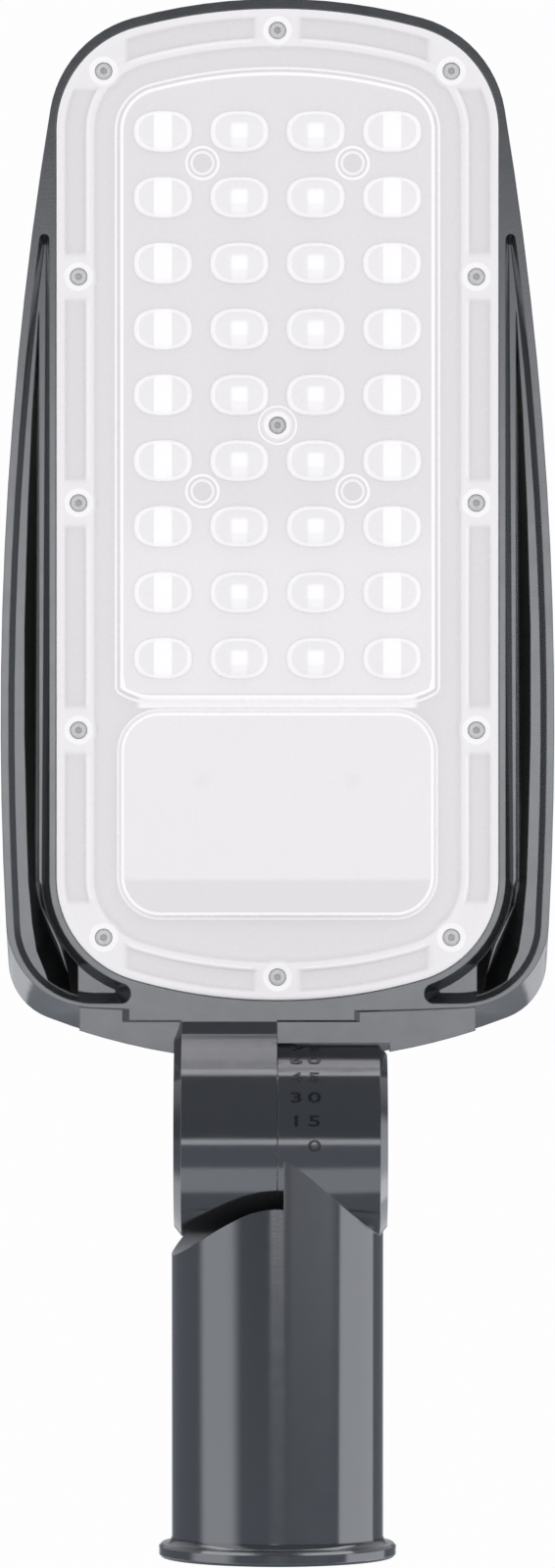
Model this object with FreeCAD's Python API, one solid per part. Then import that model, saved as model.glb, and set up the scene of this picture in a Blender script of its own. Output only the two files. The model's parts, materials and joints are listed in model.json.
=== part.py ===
import FreeCAD, Part
import math
import os
from FreeCAD import Vector as V

os.makedirs("parts", exist_ok=True)

# LED street light head on an adjustable pole spigot.
# Millimetres. +Y runs from the spigot mouth to the lamp's tip, the light
# goes out towards -Z, and the cooling fins are on the +Z side.
# Origin: centre of the spigot's mouth, on the tube's axis.

# ---------------------------------------------------------------- dimensions
# plan outline of the housing at its widest level
TIP_Y, TIP_R, TIP_CR = 501.4, 177.8, 37.2
HALF_W, WIDE_Y, SIDE_R = 89.4, 268.0, 1216.5
REAR_Y, REAR_R, REAR_CR = 158.8, 207.0, 19.6
Z_WIDE = 16.0            # level of the widest outline
Z_PLATE = -9.0           # underside plate and rim
PLATE_REAR_Y, PLATE_CR = 175.2, 28.2
Z_LAND, LAND_HW = -8.2, 63.4
SIDE_DRAFT = 0.8
WALL = 3.4

# light cover contour
LC_HW, LC_TIP, LC_TIP_R, LC_TIP_CR = 70.7, 496.1, 174.5, 34.1
LC_REAR, LC_REAR_R, LC_REAR_CR = 178.8, 165.8, 34.0
Z_SEAT = -7.0            # where the cover's flange sits
Z_FLANGE = -10.0         # sunk channels of the flange
Z_RIDGE = -11.2          # outer border, ridge and screw bosses
Z_PANEL = -12.6          # light window
Z_BAY = -13.4            # driver window
DOME_H = 3.6

# light field
COLS = (-36.6, -12.2, 12.2, 36.6)
ROW0, PITCH, ROWS = 288.2, 21.05, 9
DOME_RX, DOME_RY = 9.0, 6.4

# cover screws
RIM = [(0.0, 489.1), (55.6, 476.1), (-55.6, 476.1), (63.6, 410.3), (-63.6, 410.3),
       (63.6, 337.9), (-63.6, 337.9), (63.6, 265.2), (-63.6, 265.2),
       (55.6, 198.9), (-55.6, 198.9), (0.0, 186.2)]
CENTRE = (0.0, 362.7)
BOARD_SCREWS = [(24.0, 446.5), (-24.0, 446.5), (24.0, 341.6), (-24.0, 341.6)]
DRIVER_SCREWS = [(24.1, 248.9), (-24.1, 248.9)]
TB_SCREWS = [(26.4, 212.0), (47.6, 212.0)]
EARTH = (-40.0, 208.0)

# inner opening behind the cover
OP_HW, OP_TIP, OP_REAR, OP_CR = 55.2, 481.0, 193.8, 22.0
Z_FLOOR = -3.0           # heat spreader floor, board side
Z_FLOOR_TOP = 2.6
LED_Y0, LED_Y1 = 276.0, 475.5
BAY_Y1 = 271.8

# knuckle
AX_Y, AX_Z = 133.7, -3.7
BR = 30.7                # barrel radius
X_HEAD, X_SLEEVE = 33.1, -35.1
SEAM = 0.1               # each half's face stands back from X = 0
CH_X, CH_R = 2.4, 3.1
TEETH, T_R1, T_R2, T_H = 24, 21.6, 28.4, 0.8
T_GAP = 0.3
BOLT_R, BORE_R = 4.98, 5.04
NECK_A = 50.0
NECK_F = 5.7

# spigot tube
TR, TB, TB2 = 34.0, 30.5, 28.6
SPIGOT_L, BORE_END = 64.0, 91.5
FLANGE_R, FLANGE_T = 38.1, 4.4
SCOOP_R, RISER_X, SCOOP_CH = 36.4, -2.0, 0.5

parts = {}


# ---------------------------------------------------------------- helpers
def circ_x(c0, r0, c1, r1, low):
    dx, dy = c1[0] - c0[0], c1[1] - c0[1]
    d = math.hypot(dx, dy)
    a = (r0 * r0 - r1 * r1 + d * d) / (2 * d)
    h = math.sqrt(max(r0 * r0 - a * a, 0.0))
    ux, uy = dx / d, dy / d
    p = [(c0[0] + a * ux - s * h * uy, c0[1] + a * uy + s * h * ux) for s in (1, -1)]
    p.sort(key=lambda q: q[1])
    return p[0] if low else p[1]


def on(c, r, q):
    d = math.hypot(q[0] - c[0], q[1] - c[1])
    return (c[0] + (q[0] - c[0]) / d * r, c[1] + (q[1] - c[1]) / d * r)


def midp(c, r, a, b):
    m = ((a[0] + b[0]) / 2, (a[1] + b[1]) / 2)
    return on(c, r, m)


def outline(z, tip, rt, ct, w, yw, rs, rear, rr, cr, inset=0.0):
    """Closed wire of eight tangent arcs, symmetric about X = 0."""
    tip, w, rear = tip - inset, w - inset, rear + inset
    rt, rs, rr = rt - inset, rs - inset, rr - inset
    ct, cr = max(ct - inset, 1.0), max(cr - inset, 1.0)
    T, S, B = (0.0, tip - rt), (w - rs, yw), (0.0, rear + rr)
    Q = circ_x(T, rt - ct, S, rs - ct, False)
    P = circ_x(B, rr - cr, S, rs - cr, True)
    t1, t2 = on(T, rt, Q), on(S, rs, Q)
    p1, p2 = on(S, rs, P), on(B, rr, P)

    def v(p, m=1):
        return V(m * p[0], p[1], z)
    q1, q2, q3 = midp(Q, ct, t1, t2), midp(S, rs, t2, p1), midp(P, cr, p1, p2)
    e = [Part.Arc(v(t1, -1), V(0, tip, z), v(t1)),
         Part.Arc(v(t1), v(q1), v(t2)),
         Part.Arc(v(t2), v(q2), v(p1)),
         Part.Arc(v(p1), v(q3), v(p2)),
         Part.Arc(v(p2), V(0, rear, z), v(p2, -1)),
         Part.Arc(v(p2, -1), v(q3, -1), v(p1, -1)),
         Part.Arc(v(p1, -1), v(q2, -1), v(t2, -1)),
         Part.Arc(v(t2, -1), v(q1, -1), v(t1, -1))]
    return Part.Wire([k.toShape() for k in e])


def cover_wire(z, inset):
    """Cover contour: straight sides, arched ends, round corners."""
    hw = LC_HW - inset
    c = []
    for apex, r, cr, s in ((LC_TIP, LC_TIP_R, LC_TIP_CR, 1), (LC_REAR, LC_REAR_R, LC_REAR_CR, -1)):
        xc = LC_HW - cr
        yc0 = apex - s * r
        yc = yc0 + s * math.sqrt((r - cr) ** 2 - xc ** 2)
        c.append(((xc, yc), (0.0, yc0), cr - inset, r - inset, apex - s * inset, s))
    (qa, ta, ca, ra, pa, _), (qb, tb, cb, rb, pb, _) = c
    t1, p2 = on(ta, ra, qa), on(tb, rb, qb)
    t2, p1 = (hw, qa[1]), (hw, qb[1])
    q1, q3 = midp(qa, ca, t1, t2), midp(qb, cb, p1, p2)

    def v(p, m=1):
        return V(m * p[0], p[1], z)
    e = [Part.Arc(v(t1, -1), V(0, pa, z), v(t1)), Part.Arc(v(t1), v(q1), v(t2)),
         Part.LineSegment(v(t2), v(p1)), Part.Arc(v(p1), v(q3), v(p2)),
         Part.Arc(v(p2), V(0, pb, z), v(p2, -1)), Part.Arc(v(p2, -1), v(q3, -1), v(p1, -1)),
         Part.LineSegment(v(p1, -1), v(t2, -1)), Part.Arc(v(t2, -1), v(q1, -1), v(t1, -1))]
    return Part.Wire([k.toShape() for k in e])


def prism(wire, z0, z1):
    f = Part.Face(wire)
    z = wire.BoundBox.ZMin
    f.translate(V(0, 0, z0 - z))
    return f.extrude(V(0, 0, z1 - z0))


def box(x0, x1, y0, y1, z0, z1):
    return Part.makeBox(x1 - x0, y1 - y0, z1 - z0, V(x0, y0, z0))


def rrect(x0, x1, y0, y1, r, z0, z1):
    """Upright block with rounded corners."""
    k = r * (1 - math.sqrt(0.5))
    e = []
    pts = [(x0, y1 - r, x0 + k, y1 - k, x0 + r, y1), (x1 - r, y1, x1 - k, y1 - k, x1, y1 - r),
           (x1, y0 + r, x1 - k, y0 + k, x1 - r, y0), (x0 + r, y0, x0 + k, y0 + k, x0, y0 + r)]
    for i, p in enumerate(pts):
        e.append(Part.Arc(V(p[0], p[1], z0), V(p[2], p[3], z0), V(p[4], p[5], z0)).toShape())
        n = pts[(i + 1) % 4]
        if math.hypot(n[0] - p[4], n[1] - p[5]) > 1e-6:
            e.append(Part.LineSegment(V(p[4], p[5], z0), V(n[0], n[1], z0)).toShape())
    return Part.Face(Part.Wire(e)).extrude(V(0, 0, z1 - z0))


def cyl(x, y, r, z0, z1):
    return Part.makeCylinder(r, z1 - z0, V(x, y, z0))


def cylx(r, x0, x1, y=AX_Y, z=AX_Z):
    return Part.makeCylinder(r, x1 - x0, V(x0, y, z), V(1, 0, 0))


def cyly(r, y0, y1, x=0.0, z=0.0):
    return Part.makeCylinder(r, y1 - y0, V(x, y0, z), V(0, 1, 0))


def hexprism(af, h, base, axis, turn=0.0):
    r = af / math.sqrt(3)
    ax = V(*axis).normalize()
    u = V(0, 0, 1) if abs(ax.z) < 0.9 else V(1, 0, 0)
    a = ax.cross(u).normalize()
    b = ax.cross(a)
    c = V(*base)
    pts = []
    for i in range(7):
        t = math.radians(60 * i + turn)
        pts.append(c + a * (r * math.cos(t)) + b * (r * math.sin(t)))
    return Part.Face(Part.makePolygon(pts)).extrude(ax * h)


def tube_path(pts, r):
    """Wire of straight runs and tangent arcs swept by a round section."""
    pts = [V(*p) for p in pts]
    edges = []
    last = pts[0]
    for i in range(1, len(pts) - 1):
        a, b, c = pts[i - 1], pts[i], pts[i + 1]
        d1, d2 = (a - b), (c - b)
        l1, l2 = d1.Length, d2.Length
        d1.normalize()
        d2.normalize()
        turn = math.pi - d1.getAngle(d2)
        tl = 0.45 * min(l1, l2)
        rad = tl / math.tan(turn / 2)
        p1, p2 = b + d1 * tl, b + d2 * tl
        bis = (d1 + d2)
        bis.normalize()
        mid = b + bis * (math.sqrt(rad * rad + tl * tl) - rad)
        if (p1 - last).Length > 1e-6:
            edges.append(Part.LineSegment(last, p1).toShape())
        edges.append(Part.Arc(p1, mid, p2).toShape())
        last = p2
    edges.append(Part.LineSegment(last, pts[-1]).toShape())
    path = Part.Wire(edges)
    t = pts[1] - pts[0]
    prof = Part.Wire([Part.makeCircle(r, pts[0], t)])
    s = path.makePipeShell([prof], True, True)
    print("lead", round(path.Length, 1), "volume/section*length",
          round(s.Volume / (math.pi * r * r * path.Length), 4))
    return s


def mirror_x(s):
    return s.mirror(V(0, 0, 0), V(1, 0, 0))


def solid_of(s):
    s = s.removeSplitter()
    if s.Solids and len(s.Solids) == 1:
        return s.Solids[0]
    return s


def put(name, s):
    if isinstance(s, (list, tuple)):
        s = Part.makeCompound(list(s))
    parts[name] = s


# ---------------------------------------------------------------- outer form
def level(z, tip, w, rear, ct=TIP_CR, cr=REAR_CR, rr=REAR_R, inset=0.0, dz=0.0):
    return outline(z + dz, tip, TIP_R, ct, w, WIDE_Y, SIDE_R, rear, rr, cr, inset)


UP = [(16.0, 501.4, 89.4, 158.8, 37.2, 19.6), (24.0, 495.0, 88.9, 159.0, 37.2, 19.8),
      (32.0, 466.0, 86.9, 159.4, 38.0, 20.4), (40.0, 424.0, 82.9, 160.4, 38.0, 21.5),
      (47.0, 372.0, 76.2, 162.2, 36.0, 22.5), (52.0, 318.0, 67.0, 165.6, 32.0, 22.5),
      (54.5, 278.0, 58.5, 170.0, 26.0, 21.0)]


def under(inset, z0, z1):
    """Drafted belt from the underside plate to the widest level."""
    a = outline(z0, 499.4, TIP_R, 36.4, HALF_W - SIDE_DRAFT, WIDE_Y, SIDE_R,
                PLATE_REAR_Y, 1500.0, PLATE_CR, inset)
    b = level(z1, TIP_Y, HALF_W, REAR_Y, inset=inset)
    return Part.makeLoft([a, b], True, True)


def dome(inset, dz):
    ws = [level(z, t, w, r, c, k, inset=inset, dz=(dz if i else 0.0))
          for i, (z, t, w, r, c, k) in enumerate(UP)]
    return Part.makeLoft(ws, True, False)


lower = under(0.0, Z_PLATE, Z_WIDE)
upper = dome(0.0, 0.0)
# flat land behind the plate's rear edge, one small step above the plate
behind = prism(level(Z_WIDE, TIP_Y, HALF_W, REAR_Y, inset=0.25), Z_LAND, 20.0)
behind = behind.common(box(-LAND_HW, LAND_HW, 150.0, 177.0, -20.0, 30.0))
body = lower.fuse([upper, behind])

# neck and head half of the knuckle
def neck_wire(x, off):
    r = BR - off
    a = math.radians(NECK_A)
    c = (AX_Y, AX_Z)
    t1 = (c[0] + r * math.sin(a), c[1] - r * math.cos(a))
    d = (math.cos(a), math.sin(a))
    zp = Z_PLATE + off
    s = (zp - t1[1]) / d[1]
    p = (t1[0] + s * d[0], zp)
    rf = NECK_F + off
    tl = rf * math.tan(a / 2)
    f1 = (p[0] - d[0] * tl, p[1] - d[1] * tl)
    f2 = (p[0] + tl, zp)
    cf = (f2[0], zp - rf)
    fm = midp(cf, rf, f1, f2)
    yb = 186.0
    top = c[1] + r

    def v(q):
        return V(x, q[0], q[1])
    e = [Part.Arc(v((c[0], top)), v((c[0] - r, c[1])), v(t1)),
         Part.LineSegment(v(t1), v(f1)), Part.Arc(v(f1), v(fm), v(f2)),
         Part.LineSegment(v(f2), v((yb, zp))), Part.LineSegment(v((yb, zp)), v((yb, top))),
         Part.LineSegment(v((yb, top)), v((c[0], top)))]
    return Part.Wire([k.toShape() for k in e])


neck = Part.Face(neck_wire(SEAM, 0.0)).extrude(V(X_HEAD - CH_X - SEAM, 0, 0))
neck_end = Part.makeLoft([neck_wire(X_HEAD - CH_X, 0.0), neck_wire(X_HEAD, CH_R)], True, True)
# tab of the plate over the neck
def tab_wire(x0, x1, y0, z):
    p = [V(x0, y0, z), V(x1, y0, z), V(x1, 178.0, z), V(x0, 178.0, z)]
    return Part.makePolygon(p + p[:1])


tab = Part.makeLoft([tab_wire(-24.6, 47.5, 172.3, Z_PLATE), tab_wire(-26.5, 49.9, 171.8, Z_LAND + 0.1)], True, True)
body = body.fuse([neck, neck_end, tab])

# gland boss on the rear, above the knuckle
G_Z, G_R = 41.5, 12.0
boss = cyly(G_R, 158.6, 172.0, 0.0, G_Z)
body = body.fuse(boss)

# ---------------------------------------------------------------- hollows
cut = []
cut.append(prism(cover_wire(Z_PLATE, -0.25), Z_PLATE - 5, Z_SEAT))
# gasket groove
cut.append(prism(cover_wire(0, 10.6), Z_SEAT - 1, -5.0).cut(prism(cover_wire(0, 13.8), Z_SEAT - 2, -4.0)))
# light pocket: rounded front, straight rear
pocket = rrect(-OP_HW, OP_HW, LED_Y0, OP_TIP, OP_CR, Z_SEAT - 1, Z_FLOOR)
pocket = pocket.fuse(box(-OP_HW, OP_HW, LED_Y0, 320, Z_SEAT - 1, Z_FLOOR))
cut.append(pocket)
# driver bay, open to the cover
inner = dome(WALL, -WALL + 0.4)
inner_low = under(WALL, Z_PLATE + 4.2, Z_WIDE)
inner_all = inner_low.fuse(inner)
bay = rrect(-OP_HW, OP_HW, OP_REAR, 330, OP_CR, Z_SEAT - 1, 60).common(box(-80, 80, 150, BAY_Y1, -10, 60))
bay_rear = box(-45.5, 45.5, 166.8, OP_REAR + 25, 3.0, 60)
bay_rear = bay_rear.makeFillet(6.0, [e for e in bay_rear.Edges if e.BoundBox.ZLength > 50])
bay_void = bay.fuse(bay_rear).common(inner_all.fuse(prism(cover_wire(0, 14.0), Z_SEAT - 1, 10)))
cut.append(bay_void)
# wire notch in the wall between the bay and the light pocket
cut.append(box(-9, 9, BAY_Y1 - 3, LED_Y0 + 3, Z_SEAT - 1, Z_FLOOR))

# cooling slots from above, over the light field
slots = []
N_SLOT, S_PITCH, S_W = 17, 9.3, 7.0
for i in range(N_SLOT):
    x = (i - (N_SLOT - 1) / 2) * S_PITCH
    y1 = 484.0 - 0.0065 * x * x
    # the outermost slot on each side stops above the side trough
    outer = i in (0, N_SLOT - 1)
    slots.append(rrect(x - S_W / 2, x + S_W / 2, 277.0, 405.0 if outer else y1, S_W / 2 - 0.01,
                       26.0 if outer else Z_FLOOR_TOP, 70))
cut.append(Part.makeCompound(slots))


# side troughs, open to the light side
def trough_wire(z, e, m=1, ei=None):
    """Outline drawn in by e; ei is the draw-in of the wall beside the cover, at its rear."""
    ei = e if ei is None else ei
    rc = LC_REAR_CR
    yc = (LC_REAR + LC_REAR_R) - math.sqrt((LC_REAR_R - rc) ** 2 - (LC_HW - rc) ** 2)
    c = (LC_HW - rc, yc)
    ri = rc + 2.3 + ei
    xi = LC_HW + 2.3 + e
    yf = 422.6 - e
    xr = 49.6 + e
    # outer side
    S = (HALF_W - SIDE_R, WIDE_Y)
    ro = SIDE_R - SIDE_DRAFT - 2.5 - e
    yl = PLATE_REAR_Y + 2.5 + e
    cr = PLATE_CR - 2.5 - e
    yq = yl + cr
    xq = S[0] + math.sqrt((ro - cr) ** 2 - (yq - S[1]) ** 2)
    q = (xq, yq)
    s1 = on(S, ro, q)
    xf = S[0] + math.sqrt(ro ** 2 - (yf - S[1]) ** 2)
    a = (xi, yf)
    b = (LC_HW + 2.3 + ei, c[1])
    dyr = math.sqrt(ri ** 2 - (xr - c[0]) ** 2)
    d = (xr, c[1] - dyr)
    bd = midp(c, ri, b, d)
    g = (xq, yl)
    h = (xr, yl)
    hd = ((d[0] + h[0]) / 2 - 0.42 * (d[1] - h[1]), (d[1] + h[1]) / 2)
    f = (xf, yf)
    w2 = (xf - xi) / 2
    fa = ((xi + xf) / 2, yf + max(w2 * 0.95, 0.3))

    def v(p):
        return V(m * p[0], p[1], z)
    ed = [Part.LineSegment(v(a), v(b)), Part.Arc(v(b), v(bd), v(d)),
          Part.Arc(v(d), v(hd), v(h)), Part.LineSegment(v(h), v(g)),
          Part.Arc(v(g), v(midp(q, cr, g, s1)), v(s1)),
          Part.Arc(v(s1), v(midp(S, ro, s1, f)), v(f)),
          Part.Arc(v(f), v(fa), v(a))]
    return Part.Wire([k.toShape() for k in ed])


TR_Z1, TR_Z2, TR_DRAFT = 4.0, 22.0, 1.35
T_OVER = 1.0
TR_IN = 2.7        # the wall beside the cover slopes more towards the rear
TR_END_X, TR_END_DRAFT = 63.9, 3.0   # the shallow rear end has walls that slope more
deep_pts = [(76.7, 400.9), (76.7, 217.0), (73.0, 210.0), (63.9, 200.0), (63.9, 165.0), (70.0, 172.0),
            (74.9, 187.1), (77.6, 193.8), (78.9, 202.6), (80.15, 216.5), (80.7, 232.0),
            (81.5, 263.8), (81.5, 298.5), (80.4, 336.3), (78.9, 367.8)]
deep_low = [(77.2, 392.0), (78.0, 217.5), (76.7, 209.0), (70.3, 195.9), (67.9, 187.3), (68.05, 187.0),
            (70.95, 195.3), (73.9, 201.9), (76.75, 208.6), (78.15, 216.0), (78.2, 232.0),
            (78.05, 263.8), (77.9, 298.5), (77.7, 336.3), (77.5, 367.8)]
for m in (1, -1):
    k = TR_DRAFT / (TR_Z1 - Z_PLATE)
    ki = TR_IN / (TR_Z1 - Z_PLATE)
    t = Part.makeLoft([trough_wire(Z_PLATE - T_OVER, -T_OVER * k, m, -T_OVER * ki),
                       trough_wire(TR_Z1, TR_DRAFT, m, TR_IN)], True, True)
    k = TR_END_DRAFT / (TR_Z1 - Z_PLATE)
    te = Part.makeLoft([trough_wire(Z_PLATE - T_OVER, -T_OVER * k, m), trough_wire(TR_Z1, TR_END_DRAFT, m)], True, True)
    side = sorted((m * TR_END_X, m * 120.0))
    end = sorted((m * TR_END_X, m * 30.0))
    cut.append(t.common(box(side[0], side[1], 100, 500, -20, 30)))
    cut.append(te.common(box(end[0], end[1], 100, 500, -20, 30)))
    # narrows to an edge at its bottom
    deep = Part.makeLoft([Part.makePolygon([V(m * x, y, z) for x, y in p + p[:1]])
                          for p, z in ((deep_pts, TR_Z1 - 1), (deep_low, TR_Z2))], True, True)
    lim = Part.Face(trough_wire(TR_Z1 - 1.5, TR_DRAFT + 0.4, m, TR_IN + 0.3)).extrude(V(0, 0, 30))
    cut.append(deep.common(lim))

# round recess that the sleeve's half barrel turns in
cut.append(cylx(BR + 0.8, X_SLEEVE - 0.8, SEAM))
# knuckle: core, bolt bore and nut recess in the head half
cut.append(cylx(BORE_R, -1, 40))
cut.append(cylx(12.2, 20.0, 40))
cut.append(cylx(19.6, -1, 15.5).cut(cylx(9.2, -2, 16)))
cut.append(cylx(T_R2 + 0.5, SEAM - 1, 1.6 + T_GAP).cut(cylx(T_R1 - 0.5, -2, 4)))
# gland bore
cut.append(cyly(8.05, 150, 175, 0.0, G_Z))

for c in cut:
    body = body.cut(c)

# posts and bosses inside
adds = []
for x, y in DRIVER_SCREWS:
    adds.append(cyl(x, y, 4.2, -2.6, 53.0))
adds.append(cyl(EARTH[0], EARTH[1], 4.4, 6.0, 53.0))
for x, y in TB_SCREWS:
    adds.append(cyl(x, y, 3.6, 18.0, 53.0))
adds.append(cyl(CENTRE[0], CENTRE[1], 4.6, -6.0, 2.0))
body = body.fuse(adds)

holes = []
for x, y in RIM:
    holes.append(cyl(x, y, 1.55, Z_SEAT - 1, 1.0))
holes.append(cyl(CENTRE[0], CENTRE[1], 1.55, -7.0, 1.0))
for x, y in BOARD_SCREWS:
    holes.append(cyl(x, y, 1.55, -4.0, 1.2))
for x, y in DRIVER_SCREWS:
    holes.append(cyl(x, y, 1.55, -4.5, 6.0))
holes.append(cyl(EARTH[0], EARTH[1], 2.05, 5.0, 17.0))
for x, y in TB_SCREWS:
    holes.append(cyl(x, y, 1.55, 17.0, 28.0))
body = body.cut(Part.makeCompound(holes))


def teeth(side):
    """Ring of radial teeth. side -1: stands on the sleeve half."""
    n = TEETH * 2
    shift = T_GAP if side > 0 else 0.0
    back = (2.2 + T_GAP) if side > 0 else -2.2
    hi = T_H / T_R2
    faces = []

    def pt(r, i, flat=None):
        a = math.pi * 2 * i / n
        x = flat if flat is not None else shift + (hi * r if i % 2 == 0 else -hi * r)
        return V(x, AX_Y + r * math.cos(a), AX_Z + r * math.sin(a))
    for i in range(n):
        j = i + 1
        faces.append(Part.Face(Part.makePolygon([pt(T_R1, i), pt(T_R2, i), pt(T_R2, j), pt(T_R1, j), pt(T_R1, i)])))
        for r in (T_R1, T_R2):
            faces.append(Part.Face(Part.makePolygon([pt(r, i), pt(r, j), pt(r, j, back), pt(r, i, back), pt(r, i)])))
        faces.append(Part.Face(Part.makePolygon([pt(T_R1, i, back), pt(T_R2, i, back), pt(T_R2, j, back), pt(T_R1, j, back), pt(T_R1, i, back)])))
    sh = Part.makeShell(faces)
    s = Part.makeSolid(sh)
    if s.Volume < 0:
        s.reverse()
    return s


body = body.fuse(teeth(1))
body = solid_of(body)
put("housing", body)

# ---------------------------------------------------------------- cover
cov = prism(cover_wire(0, 0.0), Z_FLANGE, Z_SEAT)
land = prism(cover_wire(0, 0.0), Z_RIDGE, Z_FLANGE).cut(prism(cover_wire(0, 12.4), Z_RIDGE - 1, Z_FLANGE + 1))
chan = prism(cover_wire(0, 2.8), Z_RIDGE - 1, Z_FLANGE).cut(prism(cover_wire(0, 9.8), Z_RIDGE - 2, Z_FLANGE + 1))
keep = []
for y0, y1 in ((418.8, 470.5), (345.2, 401.6), (271.5, 329.5), (210.4, 257.4)):
    for m in (1, -1):
        keep.append(box(min(m * 50, m * 75), max(m * 50, m * 75), y0, y1, Z_RIDGE - 1, Z_FLANGE))
for m in (1, -1):
    keep.append(box(min(m * 8, m * 46), max(m * 8, m * 46), 470, 500, Z_RIDGE - 1, Z_FLANGE))
    keep.append(box(min(m * 8, m * 46), max(m * 8, m * 46), 170, 205, Z_RIDGE - 1, Z_FLANGE))
land = land.cut(chan.common(Part.makeCompound(keep)))
cov = cov.fuse(land)
# the light window follows the cover's arch at the tip and is rounded at its straight rear end
win = prism(cover_wire(0, 19.5), Z_PANEL, Z_FLANGE).common(rrect(-60.0, 60.0, 274.4, 520.0, 20.5, Z_PANEL - 1, 0))
dwin = rrect(-51.0, 51.0, 205.4, 271.3, 13.4, Z_BAY, Z_FLANGE)
cov = cov.fuse([win, dwin])
wpoc = prism(cover_wire(0, 22.3), Z_PANEL + 2.5, Z_SEAT + 1)
cov = cov.cut(wpoc.common(rrect(-57.2, 57.2, 277.2, 520.0, 17.7, Z_PANEL, 0)))
cov = cov.cut(rrect(-48.0, 48.0, 208.2, 268.5, 10.5, Z_BAY + 2.5, Z_SEAT + 1))
domes, dimples = [], []
mt = FreeCAD.Matrix()
mt.scale(1.0, DOME_RY / DOME_RX, (DOME_H + 1.2) / DOME_RX)
unit = Part.makeSphere(DOME_RX)
unit = unit.transformGeometry(mt)
for j in range(ROWS):
    for x in COLS:
        y = ROW0 + j * PITCH
        d = unit.copy()
        d.translate(V(x, y, Z_PANEL + 1.2))
        domes.append(d.cut(box(x - 12, x + 12, y - 12, y + 12, Z_PANEL + 1.0, 0)))
        dimples.append(Part.makeSphere(3.0, V(x, y, Z_PANEL + 2.5)))
cov = cov.fuse(domes)
cov = cov.cut(Part.makeCompound(dimples))
rings = []
for x, y in BOARD_SCREWS:
    rings.append(cyl(x, y, 5.6, Z_PANEL - 0.5, Z_PANEL + 0.5).cut(cyl(x, y, 3.8, Z_PANEL - 1, Z_PANEL + 1)))
rings.append(cyl(CENTRE[0], CENTRE[1], 6.2, Z_PANEL - 0.5, Z_PANEL + 0.5))
rings.append(cyl(CENTRE[0], CENTRE[1], 4.4, Z_PANEL, -6.05))
cov = cov.fuse(rings)
sc = []
for x, y in RIM:
    sc.append(cyl(x, y, 3.1, Z_RIDGE - 1, Z_RIDGE + 1.9))
    sc.append(Part.makeCone(4.4, 3.1, 0.9, V(x, y, Z_RIDGE)))
    sc.append(cyl(x, y, 1.7, Z_RIDGE - 1, 0))
x, y = CENTRE
sc.append(cyl(x, y, 3.1, Z_PANEL - 1, Z_PANEL + 2.0))
sc.append(cyl(x, y, 1.7, Z_PANEL - 1, 0))
cov = cov.cut(Part.makeCompound(sc))
cov = solid_of(cov)
put("lens_cover", cov)

put("cover_gasket", solid_of(prism(cover_wire(0, 10.65), Z_SEAT, -5.0).cut(prism(cover_wire(0, 13.75), Z_SEAT - 1, -4.0))))


def screw(x, y, seat, length, rh=2.75, hh=1.9, rs=1.5, socket=1.2):
    """Pan head screw driven from below, head towards -Z."""
    prof = [V(0, 0, seat - hh), V(rh * 0.62, 0, seat - hh), V(rh, 0, seat - hh * 0.35), V(rh, 0, seat),
            V(rs, 0, seat), V(rs, 0, seat + length - 0.8), V(0.5, 0, seat + length), V(0, 0, seat + length)]
    s = Part.Face(Part.makePolygon(prof + prof[:1])).revolve(V(0, 0, 0), V(0, 0, 1), 360)
    s = Part.makeSolid(s) if not s.Solids else s.Solids[0]
    s = s.cut(hexprism(socket * 1.75, 1.1, (0, 0, seat - hh - 0.01), (0, 0, 1)))
    s.translate(V(x, y, 0))
    return s


put("rim_screws", [screw(x, y, Z_RIDGE + 1.9, 9.4) for x, y in RIM])
put("centre_screw", screw(CENTRE[0], CENTRE[1], Z_PANEL + 2.0, 10.8))

# ---------------------------------------------------------------- light engine
pad = rrect(-49.5, 49.5, 277.5, 474.0, 6.0, -3.5, Z_FLOOR)
board = rrect(-50.0, 50.0, 277.0, 474.5, 6.0, -5.1, -3.5)
bh = [cyl(CENTRE[0], CENTRE[1], 5.0, -8, 0)] + [cyl(x, y, 1.75, -8, 0) for x, y in BOARD_SCREWS]
put("thermal_pad", solid_of(pad.cut(Part.makeCompound(bh))))
put("led_board", solid_of(board.cut(Part.makeCompound(bh))))
leds = []
for j in range(ROWS):
    for x in COLS:
        y = ROW0 + j * PITCH
        b = box(x - 1.75, x + 1.75, y - 1.75, y + 1.75, -5.8, -5.1)
        leds.append(b.fuse(Part.makeSphere(1.35, V(x, y, -5.8)).common(box(x - 2, x + 2, y - 2, y + 2, -8, -5.75))))
put("leds", leds)
put("board_screws", [screw(x, y, -5.1, 5.8, rh=2.4, hh=1.4, rs=1.5, socket=1.0) for x, y in BOARD_SCREWS])
conn = box(-7.0, 7.0, 278.2, 283.2, -8.3, -5.1)
conn = conn.cut(Part.makeCompound([cyly(0.9, 277, 281.5, -3.5, -6.05), cyly(0.9, 277, 281.5, 3.5, -6.05)]))
put("board_connector", conn)

# ---------------------------------------------------------------- driver bay
plate = rrect(-51.5, 51.5, 217.3, 270.6, 4.0, -5.2, -4.2)
plate = plate.common(box(-60, 60, 200, 275, -6, -3))
plate = plate.cut(Part.makeCompound([cyl(x, y, 1.7, -7, 0) for x, y in DRIVER_SCREWS] + [box(-8, 8, 266, 275, -8, 0)]))
put("driver_plate", solid_of(plate))
drv = rrect(-18.5, 18.5, 197.0, 262.0, 2.5, -4.0, 26.0)
lugs = [box(min(m * 17, m * 29.5), max(m * 17, m * 29.5), 243.4, 254.4, -4.15, -2.65).cut(cyl(m * 24.1, 248.9, 1.75, -6, 0))
        for m in (1, -1)]
drv = drv.fuse(lugs)
put("driver", solid_of(drv))
put("driver_screws", [screw(x, y, -5.2, 10.2, rh=2.6, hh=1.7) for x, y in DRIVER_SCREWS])

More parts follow.
